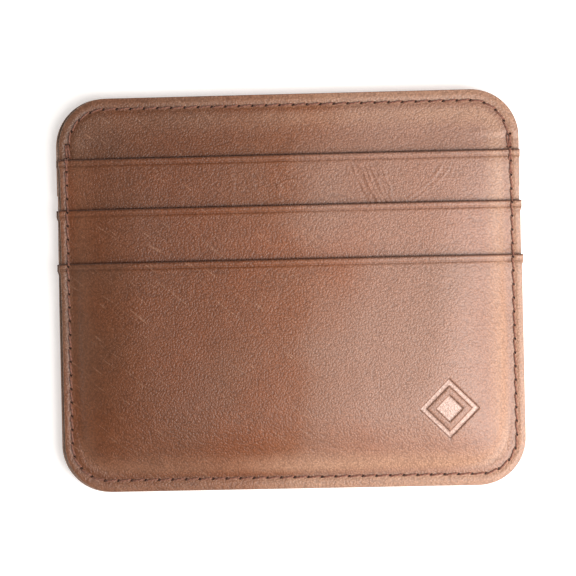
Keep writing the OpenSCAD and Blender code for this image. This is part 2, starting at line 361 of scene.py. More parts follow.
def sheet(name, layer, sizes, sign, columns, rows, edge, mouth_edge):
    """Closed mesh of a layer: an outer and an inner face, joined by rounded edges."""
    corner = sizes.corner - edge
    reach = HALF_W - layer.narrow - edge
    off = np.maximum(np.abs(rows) - (TOP - sizes.corner), 0)
    extent = reach - corner + np.sqrt(np.maximum(corner ** 2 - off ** 2, 0))
    if layer.bead:
        extent = extent - 0.3 * MM * smooth(0, 1.2 * MM, layer.high - sizes.bead - rows)
    x = extent[:, None] * columns[None, :] + layer.shift
    y = np.repeat(rows[:, None], len(columns), axis=1)
    outer = layer.outer(x, y, sizes)
    inner = outer - layer.depth(x, y, sizes)
    n_rows, n_cols = x.shape
    index = np.arange(n_rows * n_cols).reshape(n_rows, n_cols)
    loop = np.concatenate([index[0, :-1], index[:-1, -1], index[-1, :0:-1], index[:0:-1, 0]])
    flat = np.stack([x.ravel(), y.ravel()], axis=1)
    before, after = flat[np.roll(loop, 1)], flat[np.roll(loop, -1)]
    run = after - before
    normal = np.stack([run[:, 1], -run[:, 0]], axis=1)
    normal /= np.linalg.norm(normal, axis=1)[:, None]
    on_mouth = (normal[:, 1] > 0.5) & (flat[loop][:, 1] > rows[-1] - 0.01 * MM)
    out = np.where(on_mouth, mouth_edge, edge)
    middle = (outer.ravel()[loop] + inner.ravel()[loop]) / 2
    half = (outer.ravel()[loop] - inner.ravel()[loop]) / 2
    square = np.where(on_mouth, 0.9, 0.55)
    rings = []
    for turn in np.radians([22.5, 45, 67.5, 90, 112.5, 135, 157.5]):
        place = flat[loop] + normal * (out * np.sin(turn) ** square)[:, None]
        lift = np.sign(np.cos(turn)) * np.abs(np.cos(turn)) ** square
        rings.append(np.column_stack([place, middle + half * lift]))
    points = np.concatenate([
        np.column_stack([flat, outer.ravel()]),
        np.column_stack([flat, inner.ravel()]),
        *rings,
    ])
    count = n_rows * n_cols
    quads = np.stack([index[:-1, :-1], index[:-1, 1:], index[1:, 1:], index[1:, :-1]], axis=-1).reshape(-1, 4)
    strips = [loop] + [2 * count + i * len(loop) + np.arange(len(loop)) for i in range(len(rings))]
    strips.append(loop + count)
    walls = [
        np.stack([a, b, np.roll(b, -1), np.roll(a, -1)], axis=-1)
        for a, b in zip(strips[:-1], strips[1:])
    ]
    faces = np.concatenate([quads, quads[:, ::-1] + count, *walls])
    if sign < 0:
        faces = faces[:, ::-1]
    made = from_arrays(name, points, faces, sign)
    cut = np.zeros(len(points))
    cut[count:2 * count] = 1
    cut[2 * count:] = np.tile(np.where(on_mouth, 0.0, 1.0), len(rings))
    paint(made, "cut_edge", cut)
    # Painted shade: a dark line just above the next mouth, in the crease under the bead, and on the rounded
    # edge of each mouth.
    rim = np.zeros(len(points))
    rim[:count] = layer.shaded(y, sizes).ravel()
    rim[2 * count:] = np.concatenate([
        np.where(on_mouth, min(0.8, (ring + 1) / 2.5), 0.0) for ring in range(len(rings))
    ])
    paint(made, "mouth_shade", rim)
    # Paler tan on the roll and the border: partly pull-up, partly painted light.
    stretched_and_lit = np.zeros(len(points))
    stretched_and_lit[:count] = pulled(layer, x, y, sizes).ravel()
    paint(made, "pulled", stretched_and_lit)
    pressed = np.zeros(len(points))
    if layer.mark:
        pressed[:count] = pressed_mark(x, y, sizes).ravel()
    paint(made, "pressed", pressed)
    for title, path in (("side_seam", side_seam(sizes)), ("lip_row", lip_row(sizes))):
        s, across = path.along(points[:, 0], points[:, 1])
        used = any(row(sizes).total == path.total for row in layer.rows)
        stitch = path.total / round(path.total / sizes.pitch)
        seam_map(made, title, s / stitch, across / MM if used else across * 0 + 99)
    return made


def pulled(layer, x, y, sizes):
    """How much paler tan is painted: on the roll inside the seam and on the border. Partly the leather's own
    pull-up, partly painted light, as it is laid stronger towards the bottom and the right, where the light
    falls.
    """
    distance = inside(x, y, sizes.corner)
    roll = smooth(sizes.rim - 0.5 * MM, sizes.rim + 1.5 * MM, distance)
    roll = roll * (1 - smooth(sizes.rim + 1.5 * MM, sizes.rim + 6 * MM, distance))
    border = 1 - smooth(sizes.rim - 1.0 * MM, sizes.rim, distance)
    # Painted light: the paling is made stronger towards the bottom and the right, the sides the light falls
    # on.
    low = 0.5 + 0.5 * np.maximum(smooth(BOTTOM + 16 * MM, BOTTOM + 7 * MM, y), smooth(20 * MM, 42 * MM, x))
    return np.clip(0.95 * low * roll + 0.9 * border, 0, 1)


def from_arrays(name, points, faces, sign):
    """Smooth-shaded mesh object on the outer side of one half."""
    points = np.array(points, float)
    points[:, 2] = MIDDLE + sign * points[:, 2]
    mesh = bpy.data.meshes.new(name)
    mesh.from_pydata(points.tolist(), [], faces.tolist())
    mesh.polygons.foreach_set("use_smooth", [True] * len(mesh.polygons))
    mesh.update()
    made = bpy.data.objects.new(name, mesh)
    bpy.context.scene.collection.objects.link(made)
    return made


def paint(made, title, values):
    """Store one number for each vertex, for the material to read."""
    attribute = made.data.attributes.new(title, "FLOAT", "POINT")
    attribute.data.foreach_set("value", np.asarray(values, np.float32))


def seam_map(made, title, u, v):
    """UV map with stitches along U and millimetres across the seam along V."""
    layer = made.data.uv_layers.new(name=title)
    corners = np.zeros(len(made.data.loops), np.int32)
    made.data.loops.foreach_get("vertex_index", corners)
    layer.data.foreach_set("uv", np.column_stack([u[corners], v[corners]]).astype(np.float32).ravel())


# ---------------------------------------------------------------- layers


def mm_table(*rows):
    """A level table from heights in metres and levels in millimetres."""
    return [(height, value * MM) for height, value in rows]


# Wrinkles across the upper pocket: place at the mouth, place at the next mouth, bow, height and width,
# in millimetres.
WRINKLES = (
    (12.6, 16.4, -0.3, 0.06, 0.32),
    (13.4, 18.3, -0.5, 0.14, 0.28),
    (14.5, 19.6, 0.3, 0.16, 0.30),
    (15.8, 20.4, 0.2, 0.08, 0.28),
    (17.6, 21.8, -0.3, 0.12, 0.28),
    (19.4, 23.0, 0.4, 0.06, 0.30),
    (34.5, 25.5, 2.2, 0.07, 0.28),
    (35.5, 27.0, 3.0, 0.06, 0.24),
    (-12.6, -12.2, 0.3, 0.04, 0.45),
    (-9.5, -6.5, 0.4, 0.03, 0.45),
    (-4.5, -1.5, 0.6, 0.04, 0.45),
)


def layers(sizes, half):
    """The sheets of one half, from the levels and heights of the frame."""
    front = half == "front"
    seed = 1.7 if front else 31.3
    # The front half is cut a touch narrower on the left, so the back half shows beside it.
    shift = 0.15 * MM if front else -0.4 * MM
    narrow = {
        part: width * MM + max(shift, 0)
        for part, width in (("band", 0.4), ("upper", 0.25), ("middle", 0.1), ("lower", 0))
    }
    lip_out = LIP_OUT / MM
    band = Layer(
        BAND_END, TOP,
        mm_table(
            (TOP, lip_out), (FOLD, lip_out), (FOLD - MM, 0.7), (BAND_END + SKIVE, 0.7), (BAND_END, 0.31),
        ),
        mm_table((TOP, lip_out), (FOLD, lip_out), (FOLD - 4 * MM, lip_out + 0.1), (BAND_END, lip_out + 0.1)),
        LEATHER, rows=(side_seam, lip_row), seed=seed, narrow=narrow["band"], shift=shift, skived=True,
        covered=UPPER_MOUTH,
    )
    upper = Layer(
        UPPER_END, UPPER_MOUTH,
        mm_table(
            (UPPER_MOUTH, 1.3), (BAND_END + SKIVE, 1.3), (BAND_END, 0.91), (BAND_END - 2.4 * MM, 0.7),
            (UPPER_END + SKIVE, 0.7), (UPPER_END, 0.31),
        ),
        mm_table((UPPER_MOUTH, 2.1), (UPPER_MOUTH - 6 * MM, 2.02), (MIDDLE_MOUTH, 1.9), (UPPER_END, 1.75)),
        LEATHER, turned=1.0 * MM, bead=True, rows=(side_seam,), seed=seed + 2, narrow=narrow["upper"],
        shift=shift, skived=True, covered=MIDDLE_MOUTH, wrinkles=WRINKLES if front else WRINKLES[8:],
    )
    middle = Layer(
        MIDDLE_END, MIDDLE_MOUTH,
        mm_table(
            (MIDDLE_MOUTH, 1.3), (UPPER_END + SKIVE, 1.3), (UPPER_END, 0.91), (UPPER_END - 2.4 * MM, 0.8),
            (MIDDLE_END + SKIVE, 0.8), (MIDDLE_END, 0.41),
        ),
        mm_table((MIDDLE_MOUTH, 3.0), (MIDDLE_MOUTH - 6 * MM, 2.88), (LOWER_MOUTH, 2.7), (MIDDLE_END, 2.6)),
        LEATHER, turned=1.0 * MM, bead=True, rows=(side_seam,), seed=seed + 4, narrow=narrow["middle"],
        shift=shift, skived=True, covered=LOWER_MOUTH,
    )
    lower = Layer(
        BOTTOM, LOWER_MOUTH,
        mm_table(
            (LOWER_MOUTH, 1.6), (MIDDLE_END + SKIVE, 1.6), (MIDDLE_END, 1.25), (MIDDLE_END - 4 * MM, 1.12),
            (UPPER_LINING_END, 1.1), (MIDDLE_LINING_END, 1.0), (BOTTOM, 0.9),
        ),
        mm_table(
            (LOWER_MOUTH, 3.9), (LOWER_MOUTH - 8 * MM, 4.0), (LOWER_MOUTH - 20 * MM, 4.12),
            (BOTTOM + 14 * MM, 4.12), (BOTTOM, 4.0),
        ),
        sizes.panel, turned=1.1 * MM, bead=True, rows=(side_seam,), seed=seed + 6, mark=front,
        narrow=narrow["lower"], shift=shift,
    )
    body_lining = Layer(
        BOTTOM, TOP - 0.8 * MM,
        mm_table((TOP, 0.35), (FOLD, 0.35), (FOLD - MM, 0.1), (BOTTOM, 0.1)),
        mm_table((TOP, 0.35), (BOTTOM, 0.35)),
        LINING, flat=True, narrow=0.8 * MM,
    )
    upper_lining = Layer(
        UPPER_LINING_END, UPPER_END,
        mm_table((UPPER_END, 0.2), (UPPER_LINING_END, 0.2)),
        mm_table((UPPER_END, 1.25), (UPPER_SEAM + 7 * MM, 1.25), (UPPER_SEAM + MM, 0.45), (BOTTOM, 0.45)),
        LINING, flat=True, narrow=0.8 * MM,
    )
    middle_lining = Layer(
        MIDDLE_LINING_END, MIDDLE_END,
        mm_table((MIDDLE_END, 0.3), (UPPER_LINING_END, 0.3), (UPPER_LINING_END - MM, 0.2), (BOTTOM, 0.2)),
        mm_table((MIDDLE_END, 2.15), (MIDDLE_SEAM + 7 * MM, 2.15), (MIDDLE_SEAM + MM, 0.45), (BOTTOM, 0.45)),
        LINING, flat=True, narrow=0.8 * MM,
    )
    return {
        "band": band, "upper": upper, "middle": middle, "lower": lower, "lining": body_lining,
        "upper_lining": upper_lining, "middle_lining": middle_lining,
    }


def top_face(sizes, half):
    """Level of the leather that shows at a point."""
    made = layers(sizes, half)

    def face(x, y):
        if y > UPPER_MOUTH:
            shown = made["band"]
        elif y > MIDDLE_MOUTH:
            shown = made["upper"]
        elif y > LOWER_MOUTH:
            shown = made["middle"]
        else:
            shown = made["lower"]
        return float(shown.outer(np.array([x]), np.array([y]), sizes)[0])

    return face


# ---------------------------------------------------------------- thread


class StraightPath:
    """A straight row of stitches across a half."""

    def __init__(self, y, half_length):
        self.y, self.total, self.half = y, 2 * half_length, half_length

    def point(self, s):
        """Place at a distance along the row."""
        return s - self.half, self.y


# Height of the thread's middle over the leather along one stitch, as (share of the stitch, millimetres).
STITCH_ARCH = (
    (0, -0.38), (0.05, -0.12), (0.14, 0.1), (0.32, 0.17), (0.5, 0.18), (0.68, 0.17), (0.86, 0.1),
    (0.95, -0.12), (1, -0.38),
)
THREAD_SIDES = 7


def stitch_row(path, sizes, face, outward=1, slant=0.2, first=0, last=None, aside=0):
    """Points and faces of the stitches of a row. Each is a bent tube that dips into a hole at both ends."""
    count = round(path.total / sizes.pitch)
    pitch = path.total / count
    radius = sizes.thread / 2
    points, faces, maps = [], [], []
    for i in range(first, count if last is None else last):
        levels = []
        for share, _ in STITCH_ARCH:
            x, y = path.point((i + share) * pitch)
            levels.append(face(x, y) * outward)
        start = len(points)
        for k, (share, lift) in enumerate(STITCH_ARCH):
            s = (i + share) * pitch
            x, y = path.point(s)
            x1, y1 = path.point(min(s + 0.05 * MM, path.total))
            x0, y0 = path.point(max(s - 0.05 * MM, 0))
            along = Vector((x1 - x0, y1 - y0)).normalized()
            across = Vector((-along.y, along.x))
            offset = slant * MM * (share - 0.5) * 2 + aside
            near = levels[max(k - 1, 0)] + levels[min(k + 1, len(levels) - 1)]
            z = max(levels[k], near / 2) + lift * MM
            for j in range(THREAD_SIDES):
                turn = 2 * math.pi * j / THREAD_SIDES
                shift = offset + radius * math.cos(turn)
                points.append((x + across.x * shift, y + across.y * shift,
                               outward * (z + 0.85 * radius * math.sin(turn))))
                maps.append((s / MM, j / THREAD_SIDES))
        rings = len(STITCH_ARCH)
        for k in range(rings - 1):
            for j in range(THREAD_SIDES):
                a = start + k * THREAD_SIDES + j
                b = start + k * THREAD_SIDES + (j + 1) % THREAD_SIDES
                faces.append((a, b, b + THREAD_SIDES, a + THREAD_SIDES))
        end = start + (rings - 1) * THREAD_SIDES
        faces.append(tuple(start + j for j in reversed(range(THREAD_SIDES))))
        faces.append(tuple(end + j for j in range(THREAD_SIDES)))
    if outward < 0:
        faces = [tuple(reversed(f)) for f in faces]
    return points, faces, maps


def thread_object(name, rows, sign):
    """One mesh from several rows of stitches."""
    points, faces, maps = [], [], []
    for row_points, row_faces, row_maps in rows:
        shift = len(points)
        points += row_points
        maps += row_maps
        faces += [tuple(i + shift for i in f) for f in row_faces]
    places = np.array(points)
    places[:, 2] = MIDDLE + sign * places[:, 2]
    if sign > 0:
        faces = [tuple(reversed(f)) for f in faces]
    mesh = bpy.data.meshes.new(name)
    mesh.from_pydata(places.tolist(), [], faces)
    mesh.polygons.foreach_set("use_smooth", [True] * len(mesh.polygons))
    mesh.update()
    made = bpy.data.objects.new(name, mesh)
    bpy.context.scene.collection.objects.link(made)
    maps = np.array(maps)
    seam_map(made, "twist", maps[:, 0], maps[:, 1])
    return made


# ---------------------------------------------------------------- materials


def add(tree, kind, inputs=None, **settings):
    """Adds a node with its settings, and sets or links its inputs."""
    made = tree.nodes.new(kind)
    for key, value in settings.items():
        setattr(made, key, value)
    for key, value in (inputs or {}).items():
        if isinstance(value, bpy.types.NodeSocket):
            tree.links.new(value, made.inputs[key])
        else:
            made.inputs[key].default_value = value
    return made


def new_material(name):
    """An empty node material with its shader and output."""
    material = bpy.data.materials.new(name)
    material.use_nodes = True
    tree = material.node_tree
    tree.nodes.clear()
    shader = add(tree, "ShaderNodeBsdfPrincipled")
    add(tree, "ShaderNodeOutputMaterial", {"Surface": shader.outputs["BSDF"]})
    return material, tree, shader


# Painted shade: dark brown where a needle hole is, for the shade inside it.
NEEDLE_HOLE_SHADE = srgb("#34190C")


def rgba(values):
    """Colour with full alpha."""
    return (*values, 1)


def waxed_leather(name, colours, sizes, greyness):
    """Waxed, drum-milled cowhide: a fine pebble grain, cloudy browns, and painted light and shade: paler tan
    on the roll and towards the right, a painted sheen on the right and on the mark, dark painted shade at the
    mouths, the holes and the mark's walls.
    """
    material, tree, shader = new_material(name)
    place = add(tree, "ShaderNodeTexCoord").outputs["Object"]
    # Cloudy dye: patches about 20 mm across, with smaller mottling of 3 mm in them.
    cloud = add(
        tree, "ShaderNodeTexNoise",
        {"Vector": place, "Scale": 1 / (20 * MM), "Detail": 1, "Roughness": 0.5},
    )
    patch = add(
        tree, "ShaderNodeMapRange",
        {
            "Value": cloud.outputs["Fac"], "From Min": 0.5 - 0.4 * greyness,
            "From Max": 0.9 - 0.4 * greyness,
        },
    )
    dye = add(
        tree, "ShaderNodeMix",
        {"Factor": patch.outputs["Result"], 6: rgba(colours.warm), 7: rgba(colours.cool)},
        data_type="RGBA",
    )
    mottle = add(
        tree, "ShaderNodeTexNoise",
        {"Vector": place, "Scale": 1 / (3 * MM), "Detail": 5, "Roughness": 0.65},
    )
    shade = add(
        tree, "ShaderNodeMapRange",
        {
            "Value": mottle.outputs["Fac"], "From Min": 0.3, "From Max": 0.7, "To Min": 0.92,
            "To Max": 1.1,
        },
    )
    mottled = add(
        tree, "ShaderNodeVectorMath",
        {0: dye.outputs[2], 1: shade.outputs["Result"]},
        operation="MULTIPLY",
    )
    # Darker to the left and lighter to the right of an uneven line across the hide: partly the wax lying
    # thicker on the left, partly painted light from the right and painted shade on the left.
    across = add(tree, "ShaderNodeSeparateXYZ", {"Vector": place})
    uneven = add(
        tree, "ShaderNodeMath",
        {0: cloud.outputs["Fac"], 1: 30 * MM, 2: across.outputs["X"]},
        operation="MULTIPLY_ADD",
    )
    wax_and_light = add(
        tree, "ShaderNodeMapRange",
        {
            "Value": uneven.outputs[0], "From Min": -15 * MM, "From Max": 40 * MM, "To Min": 0.78,
            "To Max": 1.3,
        },
        interpolation_type="SMOOTHSTEP",
    )
    waxed_and_lit = add(
        tree, "ShaderNodeVectorMath",
        {0: mottled.outputs[0], 1: wax_and_light.outputs["Result"]},
        operation="MULTIPLY",
    )
    # On the right, where it lies thin and dry, a pale greyish pink is mixed in: partly the wax's greyish
    # bloom, partly a painted sheen of the light from the right.
    thin = add(
        tree, "ShaderNodeMapRange",
        {"Value": wax_and_light.outputs["Result"], "From Min": 1.1, "From Max": 1.3, "To Max": 0.65},
    )
    hazed_and_sheen = add(
        tree, "ShaderNodeMix",
        {"Factor": thin.outputs["Result"], 6: waxed_and_lit.outputs[0], 7: rgba(colours.bloom_and_sheen)},
        data_type="RGBA",
    )
    # Pebble grain: cells of the grain's width, pulled out of round by noise.
    bend = add(tree, "ShaderNodeTexNoise", {"Vector": place, "Scale": 1 / (1.2 * MM), "Detail": 2})
    bent = add(
        tree, "ShaderNodeVectorMath",
        {0: bend.outputs["Color"], 1: (0.4 * MM, 0.4 * MM, 0.4 * MM), 2: place},
        operation="MULTIPLY_ADD",
    )
    cells = add(
        tree, "ShaderNodeTexVoronoi",
        {"Vector": bent.outputs[0], "Scale": 1 / sizes.grain, "Randomness": 1},
        feature="SMOOTH_F1",
    )
    pores = add(
        tree, "ShaderNodeTexNoise",
        {"Vector": place, "Scale": 1 / (0.35 * MM), "Detail": 3, "Roughness": 0.6},
    )
    valley = add(
        tree, "ShaderNodeMapRange",
        {
            "Value": cells.outputs["Distance"], "From Min": 0.1, "From Max": 0.65, "To Min": 1.22,
            "To Max": 0.8,
        },
    )
    # Paler tan on the roll and the border: partly the leather's own pull-up, partly painted light from the
    # lower right.
    stretched_and_lit = add(tree, "ShaderNodeAttribute", attribute_name="pulled")
    patchy = add(
        tree, "ShaderNodeMapRange",
        {"Value": mottle.outputs["Fac"], "From Min": 0.3, "From Max": 0.7, "To Min": 0.6},
    )
    # Painted shade: less paling to the left, following the darker left side.
    dry = add(
        tree, "ShaderNodeMapRange",
        {"Value": wax_and_light.outputs["Result"], "From Min": 0.78, "From Max": 1.1, "To Min": 0.3},
    )
    loose = add(
        tree, "ShaderNodeMath",
        {0: patchy.outputs["Result"], 1: dry.outputs["Result"]},
        operation="MULTIPLY",
    )
    paled_and_lit = add(
        tree, "ShaderNodeMath",
        {0: stretched_and_lit.outputs["Fac"], 1: loose.outputs[0]},
        operation="MULTIPLY",
    )
    pale = add(
        tree, "ShaderNodeMix",
        {"Factor": paled_and_lit.outputs[0], 6: hazed_and_sheen.outputs[2], 7: rgba(colours.pulled)},
        data_type="RGBA",
    )
    # Fine scratches, under 0.5 mm wide and up to about 6 mm long, show the paler leather under the wax.
    slanted = add(
        tree, "ShaderNodeMapping",
        {"Vector": place, "Rotation": (0, 0, math.radians(-38)), "Scale": (6, 0.5, 3)},
        vector_type="TEXTURE",
    )
    streaks = add(
        tree, "ShaderNodeTexNoise",
        {"Vector": slanted.outputs["Vector"], "Scale": 1 / MM, "Detail": 1},
    )
    scratch = add(
        tree, "ShaderNodeMapRange",
        {"Value": streaks.outputs["Fac"], "From Min": 0.66, "From Max": 0.76, "To Max": 0.3},
    )
    worn = add(
        tree, "ShaderNodeMix",
        {"Factor": scratch.outputs["Result"], 6: pale.outputs[2], 7: rgba(colours.pulled)},
        data_type="RGBA",
    )
    cut = add(tree, "ShaderNodeAttribute", attribute_name="cut_edge")
    edged = add(
        tree, "ShaderNodeMix",
        {"Factor": cut.outputs["Fac"], 6: worn.outputs[2], 7: rgba(colours.raw)},
        data_type="RGBA",
    )
    # Painted shade: dark above each mouth, in the crease and on the mouth's rounded edge.
    rim = add(tree, "ShaderNodeAttribute", attribute_name="mouth_shade")
    shaded = add(
        tree, "ShaderNodeMix",
        {"Factor": rim.outputs["Fac"], 6: edged.outputs[2], 7: rgba(colours.shade_brown)},
        data_type="RGBA",
    )
    # The pressed mark is painted paler: partly its polished surface, partly a painted sheen.
    pressed = add(tree, "ShaderNodeAttribute", attribute_name="pressed")
    polish_and_sheen = add(tree, "ShaderNodeMath", {0: pressed.outputs["Fac"], 1: 0.75}, operation="MULTIPLY")
    ironed_and_sheen = add(
        tree, "ShaderNodeMix",
        {"Factor": polish_and_sheen.outputs[0], 6: shaded.outputs[2], 7: rgba(colours.ironed_and_sheen)},
        data_type="RGBA",
    )
    grained = add(
        tree, "ShaderNodeVectorMath",
        {0: ironed_and_sheen.outputs[2], 1: valley.outputs["Result"]},
        operation="MULTIPLY",
    )
    # Painted shade: the walls of the pressed mark are darkened for the shade in its grooves.
    wall = add(tree, "ShaderNodeMath", {0: pressed.outputs["Fac"], 1: 0.5}, operation="PINGPONG")
    dark = add(tree, "ShaderNodeMapRange", {"Value": wall.outputs[0], "From Max": 0.4, "To Max": 0.75})
    # Needle holes, painted dark for the shade inside them: one at each whole number along the seam's own map,
    # longer than wide.
    wall_shade = add(
        tree, "ShaderNodeMix",
        {"Factor": dark.outputs["Result"], 6: grained.outputs[0], 7: rgba(colours.shade_brown)},
        data_type="RGBA",
    )
    holes = None
    for title in ("side_seam", "lip_row"):
        chart = add(tree, "ShaderNodeUVMap", uv_map=title)
        split = add(tree, "ShaderNodeSeparateXYZ", {"Vector": chart.outputs["UV"]})
        nearest = add(tree, "ShaderNodeMath", {0: split.outputs["X"], 1: 0.5}, operation="PINGPONG")
        reach = add(
            tree, "ShaderNodeMath",
            {0: nearest.outputs[0], 1: sizes.pitch / MM / 0.38},
            operation="MULTIPLY",
        )
        side = add(tree, "ShaderNodeMath", {0: split.outputs["Y"], 1: 1 / 0.26}, operation="MULTIPLY")
        away = add(tree, "ShaderNodeCombineXYZ", {"X": reach.outputs[0], "Y": side.outputs[0]})
        far = add(tree, "ShaderNodeVectorMath", {0: away.outputs[0]}, operation="LENGTH")
        hole = add(
            tree, "ShaderNodeMapRange",
            {
                "Value": far.outputs["Value"], "From Min": 0.7, "From Max": 1.35, "To Min": 1,
                "To Max": 0,
            },
            interpolation_type="SMOOTHSTEP",
        )
        if holes is None:
            holes = hole.outputs["Result"]
        else:
            holes = add(
                tree, "ShaderNodeMath",
                {0: holes, 1: hole.outputs["Result"]},
                operation="MAXIMUM",
            ).outputs[0]
    pierced = add(
        tree, "ShaderNodeMix",
        {"Factor": holes, 6: wall_shade.outputs[2], 7: rgba(NEEDLE_HOLE_SHADE)},
        data_type="RGBA",
    )
    tree.links.new(pierced.outputs[2], shader.inputs["Base Color"])
    # Satin wax: rougher in the grain's valleys, smoother where the mark was pressed hot.
    satin = add(
        tree, "ShaderNodeMapRange",
        {
            "Value": pores.outputs["Fac"], "From Min": 0.3, "From Max": 0.7, "To Min": 0.35,
            "To Max": 0.44,
        },
    )
    gloss = add(
        tree, "ShaderNodeMath",
        {0: pressed.outputs["Fac"], 1: -0.08, 2: satin.outputs["Result"]},
        operation="MULTIPLY_ADD",
    )
    dull = add(
        tree, "ShaderNodeMath",
        {0: holes, 1: 0.6, 2: gloss.outputs[0]},
        operation="MULTIPLY_ADD",
    )
    tree.links.new(dull.outputs[0], shader.inputs["Roughness"])
    shader.inputs["IOR"].default_value = 1.55
    shader.inputs["Coat Weight"].default_value = 0.3
    shader.inputs["Coat Roughness"].default_value = 0.36
    # Relief: grain cells about 0.05 mm deep, pores, and the hollow at each needle hole.
    grain_bump = add(
        tree, "ShaderNodeBump",
        {"Height": cells.outputs["Distance"], "Distance": -0.095 * MM, "Strength": 1.0},
    )
    pore_bump = add(
        tree, "ShaderNodeBump",
        {
            "Height": pores.outputs["Fac"], "Distance": 0.07 * MM, "Strength": 0.9,
            "Normal": grain_bump.outputs["Normal"],
        },
    )
    hole_bump = add(
        tree, "ShaderNodeBump",
        {
            "Height": holes, "Distance": -0.25 * MM, "Strength": 0.8,
            "Normal": pore_bump.outputs["Normal"],
        },
    )
    tree.links.new(hole_bump.outputs["Normal"], shader.inputs["Normal"])
    return material


def woven_lining(name, colours):
    """Thin twill lining: threads 0.3 mm apart in both directions, dull and dark."""
    material, tree, shader = new_material(name)
    place = add(tree, "ShaderNodeTexCoord").outputs["Object"]
    weft = add(
        tree, "ShaderNodeTexWave",
        {"Vector": place, "Scale": 0.05 / (0.3 * MM), "Distortion": 0.4},
        bands_direction="X",
    )
    warp = add(
        tree, "ShaderNodeTexWave",
        {"Vector": place, "Scale": 0.05 / (0.3 * MM), "Distortion": 0.4},
        bands_direction="Y",
    )
    weave = add(
        tree, "ShaderNodeMath",
        {0: weft.outputs["Fac"], 1: warp.outputs["Fac"]},
        operation="MAXIMUM",
    )
    shade = add(tree, "ShaderNodeMapRange", {"Value": weave.outputs[0], "To Min": 0.6, "To Max": 1.15})
    cloth = add(
        tree, "ShaderNodeVectorMath",
        {0: rgba(colours.lining)[:3], 1: shade.outputs["Result"]},
        operation="MULTIPLY",
    )
    tree.links.new(cloth.outputs[0], shader.inputs["Base Color"])
    shader.inputs["Roughness"].default_value = 0.85
    shader.inputs["Sheen Weight"].default_value = 0.2
    bump = add(
        tree, "ShaderNodeBump",
        {"Height": weave.outputs[0], "Distance": 0.05 * MM, "Strength": 0.8},
    )
    tree.links.new(bump.outputs["Normal"], shader.inputs["Normal"])
    return material


def bonded_thread(name, colours):
    """Bonded polyester sewing thread: three plies twisted together, with a slight shine."""
    material, tree, shader = new_material(name)
    chart = add(tree, "ShaderNodeUVMap", uv_map="twist")
    split = add(tree, "ShaderNodeSeparateXYZ", {"Vector": chart.outputs["UV"]})
    # One turn of the twist each 0.9 mm.
    turn = add(
        tree, "ShaderNodeMath",
        {0: split.outputs["X"], 1: 1 / 0.9, 2: split.outputs["Y"]},
        operation="MULTIPLY_ADD",
    )
    ply = add(tree, "ShaderNodeMath", {0: turn.outputs[0], 1: 0.5}, operation="PINGPONG")
    shade = add(
        tree, "ShaderNodeMapRange",
        {"Value": ply.outputs[0], "From Max": 0.5, "To Min": 0.7, "To Max": 1.15},
    )
    dyed = add(
        tree, "ShaderNodeVectorMath",
        {0: rgba(colours.thread)[:3], 1: shade.outputs["Result"]},
        operation="MULTIPLY",
    )
    tree.links.new(dyed.outputs[0], shader.inputs["Base Color"])
    shader.inputs["Roughness"].default_value = 0.5
    shader.inputs["Sheen Weight"].default_value = 0.25
    bump = add(
        tree, "ShaderNodeBump",
        {"Height": ply.outputs[0], "Distance": 0.08 * MM, "Strength": 0.7},
    )
    tree.links.new(bump.outputs["Normal"], shader.inputs["Normal"])
    return material


def pale_paper(name, colours):
    """Matt studio paper with a faint tooth."""
    material, tree, shader = new_material(name)
    place = add(tree, "ShaderNodeTexCoord").outputs["Object"]
    tooth = add(tree, "ShaderNodeTexNoise", {"Vector": place, "Scale": 1 / (2 * MM), "Detail": 2})
    shader.inputs["Base Color"].default_value = rgba(colours.floor)
    shader.inputs["Roughness"].default_value = 0.9
    shader.inputs["Emission Color"].default_value = rgba(colours.floor)
    shader.inputs["Emission Strength"].default_value = 0.6
    bump = add(
        tree, "ShaderNodeBump",
        {"Height": tooth.outputs["Fac"], "Distance": 0.02 * MM, "Strength": 0.3},
    )
    tree.links.new(bump.outputs["Normal"], shader.inputs["Normal"])
    return material


def material_for(key, maker, *values):
    """The material of that name, made once."""
    return bpy.data.materials.get(key) or maker(key, *values)


# ---------------------------------------------------------------- operators


def settings():
    """The panel's sizes and colours."""
    return bpy.context.scene.wallet_sizes, bpy.context.scene.wallet_colours


# How far the rounded edge of a sheet reaches past its face: at a cut, and at a turned mouth.
CUT_EDGE = 0.16 * MM
MOUTH_EDGE = 0.42 * MM

# Places across a sheet's middle, as (start, end, step) in millimetres: close at the mark and the wrinkles.
PLAIN = ((-40, 40, 0.9),)
MARKED = ((-40, 26.5, 0.9), (26.5, 42, 0.22))
WRINKLED = ((-40, -14, 0.9), (-14, 1, 0.3), (1, 11.5, 0.9), (11.5, 24.5, 0.16), (24.5, 40, 0.22))


def side_columns(middle):
    """Places across a sheet, as shares of its half width: close together at both borders."""
    start, end = middle[0][0], middle[-1][1]
    half = HALF_W / MM
    return steps((-half, start, 0.3), *middle, (end, half, 0.3)) / half


def mouth_rows(low, high, coarse):
    """Heights of a sheet that ends in a turned mouth: close together at the bead."""
    bead = high - 2.6 * MM
    return steps((low, bead, coarse), (bead, high - MOUTH_EDGE, 0.13 * MM))


def finish_sheet(made, material, slot, *nodes):
    """Gives a sheet its finish, and hides the frame's parts it stands for."""
    made.data.materials.append(material)
    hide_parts(*nodes)


def bend_at_lip(made):
    """Bakes the piece's transform into its mesh."""
    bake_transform(made)


